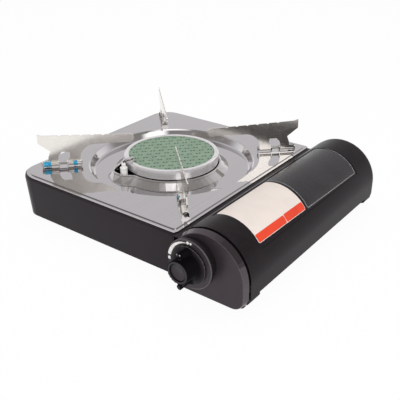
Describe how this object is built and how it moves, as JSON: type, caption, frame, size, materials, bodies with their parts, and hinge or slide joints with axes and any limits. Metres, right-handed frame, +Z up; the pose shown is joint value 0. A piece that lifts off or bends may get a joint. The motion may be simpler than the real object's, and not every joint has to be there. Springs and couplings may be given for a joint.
{
  "type": "portable infrared gas stove",
  "caption": "Portable gas stove with a round ceramic infrared burner in a pressed steel deck, folding pan supports and a hinged cover over the cartridge bay.",
  "frame": {"origin": "centre of the footprint of the bounding box, on the ground under the rubber feet", "axes": "+X towards the cartridge bay along the longest side, +Y from the knob to the rear, +Z up"},
  "size_m": [0.328, 0.31, 0.0967],
  "materials": {
    "case_black": "satin enamel",
    "cap_black": "satin enamel",
    "deck_steel": "bright annealed",
    "bright_steel": "polished",
    "support_steel": "polished sheet",
    "inner_steel": "plain",
    "burner_ceramic": "matt, fine holes",
    "fibre_white": "matt fibre",
    "insulator_white": "glazed",
    "wire_dark": "heat-darkened",
    "jet_brass": "plain",
    "cast_grey": "die-cast",
    "lead_red": "silicone",
    "spark_black": "moulded",
    "plunger_white": "moulded",
    "knob_black": "moulded",
    "dial_black": "moulded",
    "foot_rubber": "moulded"
  },
  "bodies": {
    "base": {"burner_tray": "case_black", "deck_plate": "deck_steel", "wind_collar": "bright_steel", "burner_bowl": "inner_steel", "bezel_ring": "bright_steel", "ceramic_plate": "burner_ceramic", "ceramic_gasket": "fibre_white", "gas_diffuser": "inner_steel", "burner_stand": "inner_steel", "mixing_tube": "inner_steel", "gas_jet": "jet_brass", "gas_pipe": "jet_brass", "igniter_insulator": "insulator_white", "igniter_wire": "wire_dark", "igniter_bracket": "inner_steel", "ground_tab": "bright_steel", "ignition_lead": "lead_red", "heat_shield": "inner_steel", "cartridge_trough": "case_black", "cartridge_cradle": "inner_steel", "regulator_plate": "inner_steel", "regulator_body": "cast_grey", "cartridge_socket": "inner_steel", "spark_unit": "spark_black", "dial_ring": "dial_black", "front_cap": "cap_black", "rear_cap": "case_black", "cover_hinge_pins": "inner_steel", "bracket_front_left": "bright_steel", "bracket_front_right": "bright_steel", "bracket_rear_right": "bright_steel", "bracket_rear_left": "bright_steel", "rod_front_left": "inner_steel", "rod_front_right": "inner_steel", "rod_rear_right": "inner_steel", "rod_rear_left": "inner_steel", "rubber_feet": "foot_rubber", "stand_screws": "inner_steel", "cap_screws": "inner_steel"},
    "support_front_left": {"support_front_left": "support_steel"},
    "support_front_right": {"support_front_right": "support_steel"},
    "support_rear_right": {"support_rear_right": "support_steel"},
    "support_rear_left": {"support_rear_left": "support_steel"},
    "cover": {"cartridge_cover": "case_black"},
    "knob": {"knob": "knob_black", "valve_stem": "jet_brass"},
    "spark_plunger": {"spark_plunger": "plunger_white"}
  },
  "joints": [
    {"name": "fold_front_left", "type": "hinge", "parent": "base", "child": "support_front_left", "pos_m": [-0.12942, -0.07555, 0.0605], "axis": [0.7009, 0.7133, 0], "range_deg": [0, 70]},
    {"name": "fold_front_right", "type": "hinge", "parent": "base", "child": "support_front_right", "pos_m": [0.05166, -0.07397, 0.0605], "axis": [0.7133, -0.7009, 0], "range_deg": [0, 70]},
    {"name": "fold_rear_right", "type": "hinge", "parent": "base", "child": "support_rear_right", "pos_m": [0.05002, 0.11375, 0.0605], "axis": [-0.7009, -0.7133, 0], "range_deg": [0, 70]},
    {"name": "fold_rear_left", "type": "hinge", "parent": "base", "child": "support_rear_left", "pos_m": [-0.13106, 0.11217, 0.0605], "axis": [-0.7133, 0.7009, 0], "range_deg": [0, 70]},
    {"name": "cover_hinge", "type": "hinge", "parent": "base", "child": "cover", "pos_m": [0.16, 0.017, 0.012], "axis": [0, 1, 0], "range_deg": [0, 95]},
    {"name": "knob_turn", "type": "hinge", "parent": "base", "child": "knob", "pos_m": [0.1089, -0.146, 0.0426], "axis": [0, -1, 0], "range_deg": [0, 100]},
    {"name": "spark_press", "type": "slide", "parent": "base", "child": "spark_plunger", "axis": [0, 0, -1], "range_m": [0, 0.0035]}
  ],
  "couplings": [
    {"joint": "spark_press", "follows": "knob_turn", "m_per_rad": 0.002005}
  ]
}
